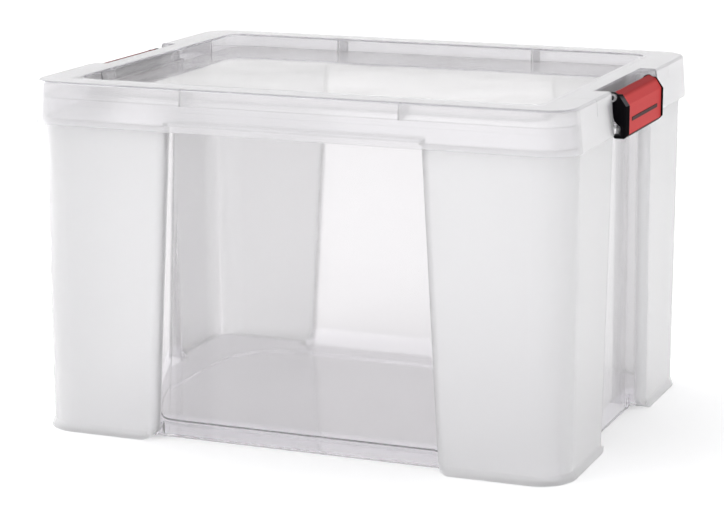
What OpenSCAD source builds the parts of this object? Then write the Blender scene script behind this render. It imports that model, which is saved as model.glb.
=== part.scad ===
// Clip-lid storage and file box: translucent tub with four corner columns, a deep-skirted
// lid with a raised border, and a hinged two-colour clip at each short end.
// Frame: X is the long side, Y runs front to back, Z is up. The origin is the middle of the
// footprint, on the floor.

/* [Overall] */
// Length of the lid along its top edge (mm)
lid_len = 500; // [440:5:560]
// Depth of the lid along its top edge, front to back (mm)
lid_dep = 384; // [340:4:440]
// Height of the closed box (mm)
box_h = 320; // [260:5:360]

/* [Tub] */
// Thickness of the tub's walls and floor (mm)
wall = 2.2; // [1.8:0.1:2.8]
// How much each tub wall leans out between the floor and the rim (mm)
tub_lean = 1.6; // [1:0.2:5]
// Radius of the tub's upright corners at the floor (mm)
tub_corner_r = 30; // [26:1:40]
// How far the middle of each wall is set back from its corner columns (mm)
recess_d = 16.4; // [15:0.2:20]
// Width of the set-back panel of a long side, just under the rim (mm)
long_recess_top = 236; // [200:2:270]
// How much wider that panel is at the floor (mm)
long_recess_spread = 32; // [8:2:48]
// How much wider the set-back panel of a short end is at the floor than at its top (mm)
end_recess_spread = 24; // [8:2:36]
// Radius of the columns' outer edges beside the set-back panels (mm)
column_edge_r = 8; // [4:0.5:9]
// Radius of the columns' lower corners, seen from the front (mm)
column_foot_r = 14; // [10:1:24]
// How far the foot of each column flares out (mm)
foot_flare = 2.8; // [1:0.2:3.6]
// Width of the low band round the raised middle of the floor (mm)
floor_band = 38; // [24:1:60]
// Height of the raised middle of the floor over that band (mm)
floor_step = 2.6; // [1:0.2:5]

/* [Lid] */
// Thickness of the lid (mm)
lid_wall = 2; // [1.6:0.1:2.4]
// Radius of the lid's upright corners (mm)
lid_corner_r = 27; // [20:1:31]
// Radius of the lid's upper outer edge (mm)
lid_edge_r = 3; // [2.6:0.1:5]
// Depth of the skirt below the lid's top (mm)
skirt_h = 38; // [34:1:46]
// How far the skirt flares out at its lower edge (mm)
skirt_flare = 3; // [2:0.2:4]
// Width of the raised border along the long sides (mm)
border_long = 27; // [24:1:40]
// Width of the raised border along the short ends (mm)
border_end = 34; // [32:1:48]
// Depth of the middle panel below the border (mm)
panel_drop = 12.6; // [8:0.2:13]

/* [Clips] */
// Width of each clip (mm)
clip_w = 114; // [90:2:120]
// Length of the dark bar across the clip (mm)
bar_len = 82; // [50:2:84]
// Radius of the clip's pivot pins (mm)
pin_r = 2; // [1.6:0.1:2.2]

/* [Hidden] */
$fn = 64;

// Clearances: a pin in its hole, a moulding in its seat, a hook under its lip, loose shells
pin_gap = 0.05;
seat_gap = 0.05;
hook_gap = 0.5;
shell_gap = 0.8;
// How far pieces of one moulding run into each other, and cutters run past what they cut
eps = 0.01;
over = 1;
far = 60;

// ---- Heights shared by the tub, the lid and the clips ----
rim_room = 0.9;
shoulder_rise = 4;
flange_rise = 8.5;
lip_drop = 1.4;
panel_top = box_h - panel_drop;
rim_top = panel_top - lid_wall - rim_room;
skirt_foot = box_h - skirt_h;
shoulder_z = skirt_foot + shoulder_rise;
flange_top = skirt_foot + flange_rise;
flange_under = flange_top - wall;
lip_foot = skirt_foot - lip_drop;

// ---- Tub footprint ----
// The columns' faces stand a little inside the skirt's lower edge, all the way up.
face_in_x = 1.4;
face_in_y = 3.2;
tub_top_len = lid_len - 2 * face_in_x;
tub_top_dep = lid_dep - 2 * face_in_y;
tub_foot_len = tub_top_len - 2 * tub_lean;
tub_foot_dep = tub_top_dep - 2 * tub_lean;
lean_angle = atan(tub_lean / rim_top);
// The rim wall's set-back inside those faces, and the bead round its top
rim_set = 1.8;
bead_set = 0.2;
bead_h = 5.5;
// Rounded root beside a set-back panel, flared foot, and the floor's middle
root_r = 6;
foot_h = 9;
foot_fade = 0.4;
floor_corner_r = 60;
floor_draft = 0.6;
// The short ends' panels stop just short of the clips' cheeks
end_recess_in = 2;
long_recess_foot = long_recess_top + long_recess_spread;
end_recess_top = clip_w - 2 * end_recess_in;
end_recess_foot = end_recess_top + end_recess_spread;

// ---- Lid details ----
well_corner_r = 16;
well_draft = 1;
rib_t = 1.8;
rib_x = 0.202 * lid_len;
rib_y = 0.3 * lid_dep;
rib_sink = 0.5;
rib_in = lid_wall / 4;

// ---- Clip pocket in each short end ----
pocket_d = 15.5;
pocket_side = 16;
pocket_half = clip_w / 2 + pocket_side;
pocket_x = lid_len / 2 - pocket_d;
notch_half = pocket_half + lid_wall + shell_gap;
notch_x = pocket_x - lid_wall - shell_gap;

// ---- Clip, as offsets from its pivot line: x outwards, z up ----
pivot_in = 3.2;
pivot_drop = 7.4;
pivot_x = lid_len / 2 - pivot_in;
pivot_z = box_h - pivot_drop;
pin_in = 0.3;
barrel_r = 4.6;
cheek_t = 3.2;
front_x = 14.4;
top_z = 2.9;
web_in = 0.5;
web_x = 9.4;
web_crown = [5.2, top_z - 4.2];
web_back = [0, top_z - 2.1];
crown_x = 7.8;
crease_z = -6.6;
waist_x = -1;
waist_z = -14;
// Slanted outer edge of each cheek: how far it runs back and how far it runs in
slant_back = 2.8;
slant_in = 1.8;
// Lugs of the lid that hold the pins, one beside each cheek
lug_gap = 0.6;
lug_t = 3;
lug_r = 3.6;
lug_y = clip_w / 2 + lug_gap;
lug_brace = 12;
lug_foot = 5;
// Lip on the tub: its inner face, thickness, and the space the cheeks leave round it
lip_x = 2.2;
lip_t = 2.6;
lip_room = 0.6;
lip_len = clip_w - 2 * (cheek_t + shell_gap);
neck_t = 7;
neck_rise = 6;
neck_x = front_x - neck_t;
neck_z = lip_foot + neck_rise - pivot_z;
gusset_t = 2;
// Hook that closes under that lip
hook_t = 3.2;
hook_top = lip_foot - hook_gap - pivot_z;
hook_foot = hook_top - hook_t;
hook_tip = 0.8;
tip_cut = 1.2;
toe_h = 4.2;
toe_w = 4;
// Seat of the cover on the frame, from the top's back edge over the nose and down the front
seat_back = [0, top_z - 0.3];
seat_crown = [6.2, top_z - 2.6];
seat_nose = [6.9, top_z - 3.4];
seat_in = 3.6;
seat_rise = 1.7;
seat_x = front_x - seat_in;
seat_foot = hook_foot + seat_rise;
// Outer face of the cover over that seat
cover_t = 1.8;
cover_side = 2.2;
cover_half = clip_w / 2 - cover_side;
cover_back = [0.6, top_z + 1.5];
cover_crown = [7.2, top_z - 0.9];
cover_nose = [8, top_z - 1.9];
bevel_drop = 0.2;
cover_toe = 1.6;
// Bar across the cover
bar_h = 3.4;
bar_z = -20.4;
bar_gap = 0.1;
bar_proud = 0.4;

// Outer side of the clip's frame, from its top down and round the hook
clip_skin = [
    [0, top_z],
    [crown_x, top_z],
    [front_x, crease_z],
    [front_x, hook_foot + toe_h],
    [front_x - toe_w, hook_foot],
    [hook_tip + tip_cut, hook_foot],
    [hook_tip, hook_foot + tip_cut],
    [hook_tip, hook_top]
];

// ------------------------------------------------------------------ shared shapes

// Rounded block whose four sides lean out by `lean` from its foot to its top.
module leaning_block(len, dep, h, r, lean) {
    rotate([90, 0, 90])
        linear_extrude(height = len - 2 * r, center = true)
            lean_outline(dep, h, lean);
    rotate([90, 0, 0])
        linear_extrude(height = dep - 2 * r, center = true)
            lean_outline(len, h, lean);
    for (sx = [-1, 1])
        for (sy = [-1, 1])
            translate([sx * (len / 2 - r), sy * (dep / 2 - r), 0])
                cylinder(h = h, r1 = r, r2 = r + lean);
}

module lean_outline(width, h, lean) {
    half = width / 2;
    polygon([[-half, 0], [half, 0], [half + lean, h], [-half - lean, h]]);
}

// What a round edge leaves over: the corner of a square outside its circle.
module corner_waste(r) {
    difference() {
        translate([-over, -over])
            square([r + over, r + over]);
        translate([r, r])
            circle(r = r);
    }
}

// Repeats a shape at both short ends.
module both_ends() {
    children();
    mirror([1, 0, 0])
        children();
}

// Lays an outline drawn in x and z flat across the box, `width` long and centred on y = 0.
module across(width) {
    rotate([90, 0, 0])
        linear_extrude(height = width, center = true)
            children();
}

// ------------------------------------------------------------------ tub

// Cutter for the set-back middle of one wall. It works in the wall's own leaning frame: x along
// the wall, y inwards from the columns' face, z up the wall. With inset = wall it gives the
// matching inner side, so that wall, edges and roots all keep one thickness.
module panel_tool(foot_w, top_w, top_z, inset) {
    tilt = atan((foot_w - top_w) / 2 / top_z);
    side = foot_w / 2 + inset / cos(tilt);
    edge = column_edge_r - inset;
    root = root_r + inset;
    depth = recess_d + inset;
    h = top_z + inset;
    foot = column_foot_r - inset;
    // centre of the column's lower corner: `foot` off its leaning side and off the floor line
    foot_cx = side + foot * (1 / cos(tilt) - tan(tilt)) - inset * tan(tilt);
    foot_end = foot * (1 - sin(tilt));
    foot_side = side - (inset + foot) * tan(tilt) - over;
    out = recess_d;
    low = far / 2;

    // the recess itself, with rounded roots
    difference() {
        rotate([90, 0, 0])
            translate([0, 0, -depth])
                linear_extrude(height = depth + out)
                    polygon([
                        [-side - low * tan(tilt), -low],
                        [side + low * tan(tilt), -low],
                        [side - h * tan(tilt), h],
                        [-side + h * tan(tilt), h]
                    ]);
        for (s = [0, 1])
            mirror([s, 0, 0])
                translate([side, depth, 0])
                    rotate([0, tilt, 180])
                        translate([0, 0, -far])
                            linear_extrude(height = h + 2 * far)
                                corner_waste(root);
    }
    for (s = [0, 1])
        mirror([s, 0, 0]) {
            // the column's outer edge, rounded from below its foot to just under the panel's top
            translate([side, inset, 0])
                rotate([0, -tilt, 0])
                    translate([0, 0, -low])
                        linear_extrude(height = low + h - over)
                            corner_waste(edge);
            // the column's lower corner, cut back to a quarter round
            translate([0, depth, inset])
                rotate([90, 0, 0])
                    linear_extrude(height = depth + out)
                        difference() {
                            polygon([
                                [foot_side, -over],
                                [foot_cx, -over],
                                [foot_cx, foot],
                                [foot_cx - foot * cos(tilt), foot_end],
                                [foot_side, foot_end]
                            ]);
                            translate([foot_cx, foot])
                                circle(r = foot);
                        }
        }
}

// The four set-back panels, each placed on its leaning wall.
module all_panel_tools(inset) {
    for (a = [0, 180])
        rotate([0, 0, a])
            translate([0, -tub_foot_dep / 2, 0])
                rotate([lean_angle, 0, 0])
                    panel_tool(long_recess_foot, long_recess_top, shoulder_z, inset);
    for (a = [90, -90])
        rotate([0, 0, a])
            translate([0, -tub_foot_len / 2, 0])
                rotate([lean_angle, 0, 0])
                    panel_tool(end_recess_foot, end_recess_top, flange_under, inset);
}

// Space above the clip flange that the lid's pocket drops into.
module clip_notch(inset) {
    both_ends()
        translate([notch_x - inset, -notch_half - inset, flange_top - inset])
            cube([far, 2 * (notch_half + inset), far]);
}

module tub_outside() {
    shoulder_lean = tub_lean * shoulder_z / rim_top;
    difference() {
        union() {
            leaning_block(tub_foot_len, tub_foot_dep, shoulder_z, tub_corner_r, shoulder_lean);
            // flared foot
            leaning_block(tub_foot_len + 2 * foot_flare, tub_foot_dep + 2 * foot_flare, foot_h,
                          tub_corner_r + foot_flare, -foot_flare - foot_fade);
            // set-in rim wall with a bead round its top
            translate([0, 0, shoulder_z - wall])
                leaning_block(tub_top_len - 2 * rim_set, tub_top_dep - 2 * rim_set,
                              rim_top - shoulder_z + wall, tub_corner_r, 0);
            translate([0, 0, rim_top - bead_h])
                leaning_block(tub_top_len - 2 * bead_set, tub_top_dep - 2 * bead_set, bead_h,
                              tub_corner_r + rim_set, 0);
        }
        all_panel_tools(0);
        clip_notch(0);
    }
}

module tub_inside() {
    low_h = shoulder_z - 2 * wall;
    difference() {
        union() {
            translate([0, 0, wall])
                leaning_block(tub_foot_len - 2 * wall, tub_foot_dep - 2 * wall, low_h,
                              tub_corner_r - wall, tub_lean * low_h / rim_top);
            translate([0, 0, low_h - over])
                leaning_block(tub_top_len - 2 * (rim_set + wall), tub_top_dep - 2 * (rim_set + wall),
                              far, tub_corner_r - wall, 0);
        }
        all_panel_tools(wall);
        clip_notch(wall);
    }
}

// Raised middle of the floor, as a block: drawn up to grow it, subtracted below to hollow it.
module floor_middle(grow, h) {
    leaning_block(tub_foot_len - 2 * (recess_d + floor_band) + 2 * grow,
                  tub_foot_dep - 2 * (recess_d + floor_band) + 2 * grow,
                  h, floor_corner_r + grow, -floor_draft);
}

// Flange and down-turned lip that the clip's hook catches, with gussets behind it.
module catch() {
    flange_in = notch_x - 2 * wall;
    lip_in = pivot_x + lip_x;
    translate([flange_in, -lip_len / 2, flange_under])
        cube([lip_in + lip_t - flange_in, lip_len, wall]);
    translate([lip_in, -lip_len / 2, lip_foot])
        cube([lip_t, lip_len, flange_top - lip_foot]);
    for (y = [-1, 0, 1])
        translate([0, y * lip_len / 3, 0])
            across(gusset_t)
                polygon([
                    [flange_in, lip_foot],
                    [lip_in + eps, lip_foot + 2 * over],
                    [lip_in + eps, flange_under + eps],
                    [flange_in, flange_under + eps]
                ]);
}

module tub() {
    color([0.88, 0.88, 0.92, 0.5]) {
        difference() {
            union() {
                tub_outside();
                both_ends()
                    catch();
            }
            tub_inside();
            translate([0, 0, -over])
                floor_middle(0, floor_step + over);
        }
        translate([0, 0, wall - eps])
            difference() {
                floor_middle(wall, floor_step + eps);
                translate([0, 0, -wall])
                    floor_middle(0, floor_step + eps);
            }
    }
}

// ------------------------------------------------------------------ lid

// Rounded block whose upper edge is a quarter round of radius `e`, standing on z = 0.
module soft_cap(len, dep, r, e) {
    leaning_block(len - 2 * e, dep - 2 * e, e, r - e, 0);
    for (s = [-1, 1]) {
        translate([0, s * (dep / 2 - e), 0])
            rotate([90, 0, 90])
                linear_extrude(height = len - 2 * r, center = true)
                    quarter(e, s);
        translate([s * (len / 2 - e), 0, 0])
            across(dep - 2 * r)
                quarter(e, s);
    }
    for (sx = [-1, 1])
        for (sy = [-1, 1])
            translate([sx * (len / 2 - r), sy * (dep / 2 - r), 0])
                rotate_extrude()
                    translate([r - e, 0])
                        quarter(e, 1);
}

module quarter(e, side) {
    intersection() {
        circle(r = e);
        translate([side > 0 ? 0 : -e, 0])
            square([e, e]);
    }
}

// Outer form of the lid, or the hollow inside it when inset is the lid's thickness.
module lid_form(inset) {
    len = lid_len - 2 * inset;
    dep = lid_dep - 2 * inset;
    difference() {
        translate([0, 0, box_h - lid_edge_r]) {
            mirror([0, 0, 1])
                leaning_block(len, dep, skirt_h - lid_edge_r + inset, lid_corner_r - inset,
                              skirt_flare);
            soft_cap(len, dep, lid_corner_r - inset, lid_edge_r - inset);
        }
        both_ends()
            translate([pocket_x - inset, -pocket_half - inset, skirt_foot - far])
                cube([far, 2 * (pocket_half + inset), skirt_h + 2 * far]);
    }
}

// The recess above the middle panel, or with inset the wall and panel round it.
module panel_well(inset) {
    len = lid_len - 2 * border_end + 2 * inset - 2 * well_draft;
    dep = lid_dep - 2 * border_long + 2 * inset - 2 * well_draft;
    translate([0, 0, panel_top - inset])
        leaning_block(len, dep, panel_drop + 2 * inset, well_corner_r + inset, well_draft);
}

// Upright ribs inside the border; the lid rests on them on the tub's bead.
module border_ribs() {
    rib_h = box_h - rim_top - lid_wall / 2;
    long = border_long - rib_in;
    end = border_end - rib_in;
    for (sx = [-1, 1])
        for (sy = [-1, 1]) {
            translate([sx * rib_x, sy * (lid_dep - long) / 2, rim_top + rib_h / 2])
                cube([rib_t, long, rib_h], center = true);
            translate([sx * (lid_len - end) / 2, sy * rib_y, rim_top + rib_h / 2])
                cube([end, rib_t, rib_h], center = true);
        }
}

// Braced lugs that stand out from the pocket's inner wall, one beside each cheek of the clip.
module pivot_lugs() {
    root_x = pocket_x - lid_wall / 2 - pivot_x;
    both_ends()
        for (sy = [-1, 1])
            translate([pivot_x, sy * (lug_y + lug_t / 2), pivot_z])
                across(lug_t) {
                    circle(r = lug_r);
                    polygon([
                        [0, lug_r],
                        [root_x, lug_r],
                        [root_x, -lug_r - lug_brace],
                        [root_x + lug_foot, -lug_r - lug_brace],
                        [0, -lug_r]
                    ]);
                }
}

module lid() {
    skirt_cut = pocket_half + lid_wall + rib_sink;
    wall_in = pocket_x - lid_wall - over;
    color([0.86, 0.86, 0.91, 0.5])
        difference() {
            union() {
                difference() {
                    lid_form(0);
                    lid_form(lid_wall);
                }
                intersection() {
                    lid_form(rib_sink);
                    union() {
                        panel_well(lid_wall);
                        border_ribs();
                    }
                }
                pivot_lugs();
            }
            panel_well(0);
            both_ends() {
                // pivot holes
                translate([pivot_x, 0, pivot_z])
                    rotate([90, 0, 0])
                        cylinder(h = 2 * (lug_y + lug_t + over), r = pin_r + pin_gap, center = true);
                // the pocket's walls stop above the tub's flange and clear of its columns
                translate([wall_in, -skirt_cut, skirt_foot - far])
                    cube([tub_top_len / 2 + shell_gap - wall_in, 2 * skirt_cut,
                          flange_top + over - skirt_foot + far]);
            }
        }
}

// ------------------------------------------------------------------ clips (right end, in place)

// Outline of a cheek in its own plane: round the pivot, down the front, round the hook.
module cheek_outline() {
    throat_r = 2.5;
    throat_x = lip_x + 2.2;
    difference() {
        union() {
            circle(r = barrel_r);
            polygon(concat([[-barrel_r, 0]], clip_skin, [
                [neck_x, hook_top],
                [neck_x, neck_z],
                [lip_x - lip_room, flange_top + 2 * lip_room - pivot_z],
                [waist_x, waist_z]
            ]));
        }
        // rounded throat above the hook
        translate([throat_x, hook_top + throat_r])
            circle(r = throat_r);
        translate([lip_x - over, hook_top])
            square([throat_x - lip_x + over, 2 * throat_r + over]);
    }
}

// Web that joins the cheeks behind the cover, with the hook along its foot.
module web_outline() {
    polygon(concat(clip_skin, [
        [web_x, hook_top],
        [web_x, crease_z - over],
        web_crown,
        web_back
    ]));
}

// Section of the cover: a bevelled strip over the top and a flat face down the front.
module cover_outline() {
    polygon([
        [cover_back.x, seat_back.y],
        cover_back,
        cover_crown,
        cover_nose,
        [seat_x + cover_t, crease_z + bevel_drop],
        [seat_x + cover_t, seat_foot + cover_toe],
        [seat_x + cover_t - cover_toe, seat_foot],
        [seat_x, seat_foot],
        [seat_x, crease_z],
        seat_nose,
        seat_crown
    ]);
}

module at_pivot() {
    translate([pivot_x, 0, pivot_z])
        children();
}

// Waste outside one slanted outer edge of a cheek. `place` is a point of that edge in x and z,
// and the rim beside it looks out at `turn` degrees above level.
module cheek_slant(place, turn) {
    translate([place.x, slant_in - clip_w / 2, place.y])
        rotate([0, -turn, 0])
            rotate([0, 0, atan(slant_in / slant_back)])
                translate([-far, -far, -far])
                    cube([2 * far, far, 2 * far]);
}

module clip_frame() {
    slope = atan((front_x - crown_x) / (top_z - crease_z));
    at_pivot()
        difference() {
            union() {
                for (s = [-1, 1])
                    translate([0, s * (clip_w - cheek_t) / 2, 0])
                        across(cheek_t)
                            cheek_outline();
                across(clip_w - 2 * web_in)
                    web_outline();
                rotate([90, 0, 0])
                    cylinder(h = 2 * (lug_y + lug_t - pin_in), r = pin_r, center = true);
            }
            cover_seat();
            for (s = [0, 1])
                mirror([0, s, 0]) {
                    cheek_slant([front_x, 0], 0);
                    cheek_slant([front_x, crease_z], slope);
                }
        }
}

// Everything outside the face that the cover lies on.
module cover_seat() {
    across(2 * (cover_half + seat_gap))
        polygon([
            [-eps, seat_back.y],
            seat_crown,
            seat_nose,
            [seat_x, crease_z],
            [seat_x, seat_foot - bar_gap],
            [seat_x + far, seat_foot - bar_gap],
            [seat_x + far, top_z + far],
            [-eps, top_z + far]
        ]);
}

module clip_cover() {
    at_pivot()
        difference() {
            across(2 * cover_half)
                cover_outline();
            translate([seat_x, 0, bar_z])
                cube([far, bar_len, bar_h], center = true);
        }
}

module clip_bar() {
    depth = cover_t + bar_proud;
    at_pivot()
        translate([seat_x + depth / 2, 0, bar_z])
            cube([depth, bar_len - 2 * bar_gap, bar_h - 2 * bar_gap], center = true);
}

module clip_frame_right() {
    color([0.06, 0.06, 0.06])
        clip_frame();
}

module clip_frame_left() {
    color([0.06, 0.06, 0.06])
        mirror([1, 0, 0])
            clip_frame();
}

module clip_cover_right() {
    color([0.78, 0.2, 0.2])
        clip_cover();
}

module clip_cover_left() {
    color([0.78, 0.2, 0.2])
        mirror([1, 0, 0])
            clip_cover();
}

module clip_bar_right() {
    color([0.28, 0.23, 0.21])
        clip_bar();
}

module clip_bar_left() {
    color([0.28, 0.23, 0.21])
        mirror([1, 0, 0])
            clip_bar();
}

tub();
lid();
clip_frame_right();
clip_cover_right();
clip_bar_right();
clip_frame_left();
clip_cover_left();
clip_bar_left();
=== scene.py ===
"""Clip-lid file box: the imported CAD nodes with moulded-plastic materials, in a pale studio."""

import math

import bpy
from mathutils import Matrix, Vector

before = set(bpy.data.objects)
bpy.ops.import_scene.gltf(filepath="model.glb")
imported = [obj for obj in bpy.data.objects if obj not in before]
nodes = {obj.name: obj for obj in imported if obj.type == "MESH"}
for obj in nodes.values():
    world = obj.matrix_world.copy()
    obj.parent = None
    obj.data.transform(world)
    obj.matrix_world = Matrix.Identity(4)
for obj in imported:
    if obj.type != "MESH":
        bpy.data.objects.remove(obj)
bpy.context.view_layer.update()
scene = bpy.context.scene

# ------------------------------------------------------------------ camera

# The photograph's view, fitted to the box's corners: degrees, millimetres and pixels
AZIMUTH, ELEVATION, ROLL = 21.96, 12.55, -0.15
TARGET = Vector((-9.06, 0.0, 141.96))
DISTANCE = 2256.02
FOCAL_PX = 2415.8
PHOTO_WIDTH_PX = 724
SENSOR_WIDTH_MM = 36.0
MM_PER_METRE = 1000
VIEW_DEPTH = 100.0  # metres, well past the floor's far edge


def add_camera():
    az, el, roll = (math.radians(a) for a in (AZIMUTH, ELEVATION, ROLL))
    back = Vector((math.sin(az) * math.cos(el), -math.cos(az) * math.cos(el), math.sin(el)))
    right = Vector((0, 0, 1)).cross(back).normalized()
    up = back.cross(right)
    right, up = (right * math.cos(roll) + up * math.sin(roll),
                 up * math.cos(roll) - right * math.sin(roll))
    data = bpy.data.cameras.new("camera")
    data.sensor_width = SENSOR_WIDTH_MM
    data.lens = FOCAL_PX * data.sensor_width / PHOTO_WIDTH_PX
    data.clip_end = VIEW_DEPTH
    cam = bpy.data.objects.new("camera", data)
    turn = Matrix((right, up, back)).transposed().to_4x4()
    cam.matrix_world = Matrix.Translation((TARGET + back * DISTANCE) / MM_PER_METRE) @ turn
    scene.collection.objects.link(cam)
    scene.camera = cam


# ------------------------------------------------------------------ materials

# Lengths from here on are in metres, colours are linear red, green and blue.
BUMP_STRENGTH = 0.5
BEVEL_SAMPLES = 4
SOCKET_NAMES = {
    "Color": "Base Color",
    "Transmission": "Transmission Weight",
    "Coat": "Coat Weight",
}


def rgba(colour):
    return [*colour, 1]


class Shader:
    """A new Principled material and short ways to add its procedural nodes."""

    def __init__(self, name):
        self.material = bpy.data.materials.new(name)
        self.material.use_nodes = True
        self.tree = self.material.node_tree
        self.bsdf = self.tree.nodes["Principled BSDF"]

    def add(self, kind, inputs=(), **settings):
        node = self.tree.nodes.new("ShaderNode" + kind)
        for key, value in settings.items():
            setattr(node, key, value)
        for key, value in dict(inputs).items():
            self.feed(node.inputs[key], value)
        return node

    def feed(self, socket, value):
        """Link an output to the socket, or set the socket to a plain value."""
        if isinstance(value, bpy.types.NodeSocket):
            self.tree.links.new(value, socket)
        else:
            socket.default_value = value

    def set(self, **inputs):
        for key, value in inputs.items():
            self.feed(self.bsdf.inputs[SOCKET_NAMES.get(key, key)], value)

    def math(self, operation, a, b=0.0):
        node = self.add("Math", operation=operation)
        self.feed(node.inputs[0], a)
        self.feed(node.inputs[1], b)
        return node.outputs[0]

    def ramp(self, value, low, high, to_low=0.0, to_high=1.0):
        """A smooth step from to_low to to_high as the value goes from low to high."""
        node = self.add("MapRange", {"Value": value, "From Min": low, "From Max": high,
                                     "To Min": to_low, "To Max": to_high},
                        interpolation_type="SMOOTHSTEP")
        return node.outputs["Result"]

    def mix(self, factor, a, b):
        """Colour a where the factor is 0 and b where it is 1."""
        node = self.add("Mix", data_type="RGBA")
        self.feed(node.inputs["Factor"], factor)
        self.feed(node.inputs[6], a)  # sockets 6 and 7 and output 2 are the colour ones
        self.feed(node.inputs[7], b)
        return node.outputs[2]

    def place(self):
        """The point on the object, whole and split into x, y and z."""
        where = self.add("TexCoord").outputs["Object"]
        return where, self.add("SeparateXYZ", {0: where}).outputs

    def noise(self, where, scale, detail, rough=0.5, stretch=(1, 1, 1)):
        mapped = self.add("Mapping", {"Vector": where, "Scale": stretch})
        node = self.add("TexNoise", {"Vector": mapped.outputs[0], "Scale": scale,
                                     "Detail": detail, "Roughness": rough})
        return node.outputs["Fac"]

    def bump(self, height, distance, edge_radius=0.0):
        """Surface relief, over edges that are rounded by edge_radius where it is given."""
        node = self.add("Bump", {"Height": height, "Distance": distance,
                                 "Strength": BUMP_STRENGTH})
        if edge_radius:
            soft = self.add("Bevel", {"Radius": edge_radius}, samples=BEVEL_SAMPLES)
            self.feed(node.inputs["Normal"], soft.outputs[0])
        self.feed(self.bsdf.inputs["Normal"], node.outputs[0])


def frosted_plastic(name, edge_x, edge_y, clear, satin, foot, crown):
    """Translucent moulded polypropylene, clear on the inner panels and satin outside them.

    edge_x and edge_y hold the distances from the middle where clear begins to turn to satin and
    where it is satin. clear and satin each hold a colour, a roughness and a transmission. Below
    the foot's height, clear plastic has the foot's colour. Above the crown's height all of it has
    the crown's colour, and the share of satin is multiplied by the crown's.
    """
    foot_blend, crown_blend = 0.002, 0.001
    flow_scale, flow_stretch, grain_scale = 9.0, (1, 1, 0.35), 900.0
    haze, haze_share = (0.9, 0.9, 0.925), 0.06
    roughness_swing = 0.08
    grain_share, relief = 0.02, 0.0006
    plastic_ior, coat_roughness = 1.49, 0.16

    s = Shader(name)
    where, (x, y, z) = s.place()
    out_x = s.ramp(s.math("ABSOLUTE", x), *edge_x)
    out_y = s.ramp(s.math("ABSOLUTE", y), *edge_y)
    below = s.ramp(z, foot["height"] - foot_blend, foot["height"] + foot_blend, 1.0, 0.0)
    above = s.ramp(z, crown["height"] - crown_blend, crown["height"] + crown_blend)
    outer = s.math("MULTIPLY", s.math("MAXIMUM", out_x, out_y),
                   s.ramp(above, 0, 1, 1.0, crown["satin"]))
    flow = s.noise(where, flow_scale, detail=2.0, rough=0.4, stretch=flow_stretch)
    grain = s.noise(where, grain_scale, detail=2.0)

    inner_tone = s.mix(below, rgba(clear["colour"]), rgba(foot["colour"]))
    tone = s.mix(above, s.mix(outer, inner_tone, rgba(satin["colour"])), rgba(crown["colour"]))
    roughness = s.ramp(outer, 0, 1, clear["roughness"], satin["roughness"])
    uneven = s.math("MULTIPLY", s.math("SUBTRACT", flow, 0.5), roughness_swing)
    s.set(Color=s.mix(s.math("MULTIPLY", flow, haze_share), tone, rgba(haze)),
          Roughness=s.math("ADD", roughness, uneven),
          Transmission=s.ramp(outer, 0, 1, clear["transmission"], satin["transmission"]),
          IOR=plastic_ior, Coat=outer)
    s.bsdf.inputs["Coat Roughness"].default_value = coat_roughness
    s.bump(s.math("ADD", flow, s.math("MULTIPLY", grain, grain_share)), relief)
    return s.material


def clip_plastic(name, colour, painted_top_light, roughness, gloss, grain_scale, painted_highlight_share):
    """Solid-coloured plastic with a fine grain and slightly rounded edges.

    Above the clip's crease it has its top colour, which is painted light for how the top bevel
    is lit, painted shade on the red cover. Below it, faces that look up are paler by a painted
    highlight, in the share given for it. gloss is the strength of the highlight.
    """
    crease, crease_blend = 0.3132, 0.002
    # Painted highlight: below the crease, faces that look up are turned towards a pale grey, most
    # on the black frame.
    highlight_facing = (0.12, 0.3)  # the upward part of the normal, from not at all to in full
    cloud_scale, cloud_share, cloud_dim = 60.0, 0.35, 0.86
    highlight_grey = (0.16, 0.16, 0.17)
    roughness_swing = 0.12
    relief, edge_radius = 0.00006, 0.0004
    plastic_ior = 1.5

    s = Shader(name)
    where, (_, _, z) = s.place()
    # Painted light: above the crease the top takes its own colour for how it is lit, painted
    # shade on the red cover.
    painted_top_mask = s.ramp(z, crease - crease_blend, crease + crease_blend)
    normal = s.add("NewGeometry").outputs["Normal"]
    highlight_mask = s.ramp(s.add("SeparateXYZ", {0: normal}).outputs[2], *highlight_facing)
    cloud = s.noise(where, cloud_scale, detail=3.0)
    grain = s.noise(where, grain_scale, detail=2.0, rough=0.6)

    tone = s.mix(s.math("MULTIPLY", cloud, cloud_share),
                 rgba(colour), rgba(c * cloud_dim for c in colour))
    # The clouds are the plastic's own tone; the painted highlight on upward faces goes over them.
    lower_tone_and_highlight = s.mix(s.math("MULTIPLY", highlight_mask, painted_highlight_share), tone, rgba(highlight_grey))
    s.set(Color=s.mix(painted_top_mask, lower_tone_and_highlight, rgba(painted_top_light)),
          Roughness=s.math("ADD", s.math("MULTIPLY", grain, roughness_swing), roughness),
          IOR=plastic_ior)
    s.bsdf.inputs["Specular IOR Level"].default_value = gloss
    s.bump(grain, relief, edge_radius)
    return s.material


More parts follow.
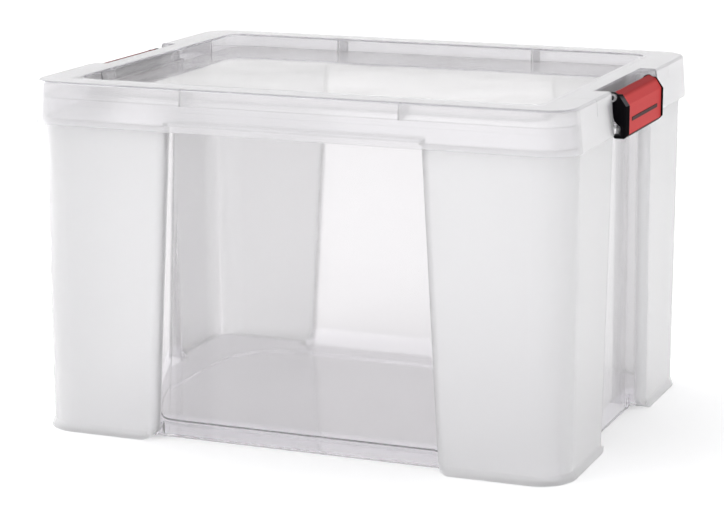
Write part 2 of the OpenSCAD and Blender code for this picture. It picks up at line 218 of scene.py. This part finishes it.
def dress():
    """Give every CAD node the material that its name calls for."""
    looks = {
        "tub": frosted_plastic(
            "tub_plastic", edge_x=(0.234, 0.243), edge_y=(0.1745, 0.179),
            clear={"colour": (0.893, 0.884, 0.89), "roughness": 0.06, "transmission": 0.97},
            satin={"colour": (0.986, 0.983, 0.991), "roughness": 0.5, "transmission": 0.74},
            foot={"height": 0.02, "colour": (0.99, 0.978, 1.0)},
            crown={"height": 0.286, "colour": (0.99, 0.985, 0.995), "satin": 0.0}),
        "lid": frosted_plastic(
            "lid_plastic", edge_x=(0.216, 0.222), edge_y=(0.166, 0.172),
            clear={"colour": (0.992, 0.987, 0.994), "roughness": 0.05, "transmission": 0.97},
            satin={"colour": (0.993, 0.985, 1.0), "roughness": 0.24, "transmission": 0.75},
            foot={"height": 0.3095, "colour": (0.94, 0.93, 0.935)},
            crown={"height": 0.3185, "colour": (0.9, 0.886, 0.93), "satin": 1.0}),
        # Each clip part's top colour above the crease is painted light, and its upward faces get
        # a painted highlight.
        "clip_frame": clip_plastic(
            "clip_black", (0.0025, 0.002, 0.003), painted_top_light=(0.004, 0.004, 0.005),
            roughness=0.3, gloss=0.06, grain_scale=1800.0, painted_highlight_share=0.5),
        "clip_cover": clip_plastic(
            "clip_red", (0.6, 0.052, 0.052), painted_top_light=(0.33, 0.006, 0.008),
            roughness=0.4, gloss=0.04, grain_scale=1500.0, painted_highlight_share=0.02),
        "clip_bar": clip_plastic(
            "clip_bar", (0.06, 0.018, 0.018), painted_top_light=(0.06, 0.018, 0.018),
            roughness=0.4, gloss=0.05, grain_scale=1500.0, painted_highlight_share=0.0),
    }
    for name, obj in nodes.items():
        look = next(material for key, material in looks.items() if name.startswith(key))
        obj.data.materials.clear()
        obj.data.materials.append(look)


# ------------------------------------------------------------------ studio

FLOOR_HALF = 14.0
FLOOR_HEIGHT = -0.0004  # a hair under the box, so that the two faces don't share a plane
FLOOR_GLOW = 0.36  # like a light table, for the photograph's cut-out white background
WORLD_LEFT, WORLD_RIGHT = 1.0, 0.79
BOX_MIDDLE = (0, 0, 0.15)


def add_floor():
    s = Shader("floor_white")
    where, _ = s.place()
    grain = s.noise(where, scale=3.0, detail=2.0)
    white = s.mix(grain, rgba((0.88, 0.88, 0.885)), rgba((0.9, 0.9, 0.905)))
    s.set(Color=white, Roughness=0.9)
    s.feed(s.bsdf.inputs["Emission Color"], white)
    s.bsdf.inputs["Emission Strength"].default_value = FLOOR_GLOW
    mesh = bpy.data.meshes.new("floor")
    corners = ((-1, -1), (1, -1), (1, 1), (-1, 1))
    mesh.from_pydata([(x * FLOOR_HALF, y * FLOOR_HALF, FLOOR_HEIGHT) for x, y in corners],
                     [], [(0, 1, 2, 3)])
    mesh.materials.append(s.material)
    floor = bpy.data.objects.new("floor", mesh)
    scene.collection.objects.link(floor)


def add_light(name, place, size, power):
    """A rectangular light at the place, turned towards the middle of the box."""
    data = bpy.data.lights.new(name, "AREA")
    data.shape = "RECTANGLE"
    data.size, data.size_y = size
    data.energy = power
    lamp = bpy.data.objects.new(name, data)
    lamp.location = place
    aim = Vector(BOX_MIDDLE) - Vector(place)
    lamp.rotation_euler = aim.to_track_quat("-Z", "Y").to_euler()
    scene.collection.objects.link(lamp)


def add_world():
    """White light from all round, fading evenly from the left to the right."""
    world = bpy.data.worlds.new("world")
    world.use_nodes = True
    tree = world.node_tree
    coord = tree.nodes.new("ShaderNodeTexCoord")
    split = tree.nodes.new("ShaderNodeSeparateXYZ")
    fade = tree.nodes.new("ShaderNodeMapRange")
    tree.links.new(coord.outputs["Generated"], split.inputs[0])
    tree.links.new(split.outputs["X"], fade.inputs["Value"])
    for key, value in {"From Min": -1, "From Max": 1,
                       "To Min": WORLD_LEFT, "To Max": WORLD_RIGHT}.items():
        fade.inputs[key].default_value = value
    background = tree.nodes["Background"]
    tree.links.new(fade.outputs["Result"], background.inputs["Strength"])
    background.inputs["Color"].default_value = (1.0, 1.0, 1.0, 1)
    scene.world = world


def add_studio():
    add_world()
    add_light("key", (-1.6, -2.0, 2.2), size=(1.2, 1.2), power=10)
    add_light("strip_left", (-1.9, 0.2, 0.75), size=(1.4, 1.3), power=12)
    scene.view_settings.view_transform = "Standard"
    # Light passes many walls of clear plastic, so paths are long
    scene.cycles.max_bounces = 32
    scene.cycles.transmission_bounces = 32
    scene.cycles.diffuse_bounces = 24
    scene.cycles.glossy_bounces = 24


add_camera()
dress()
add_floor()
add_studio()
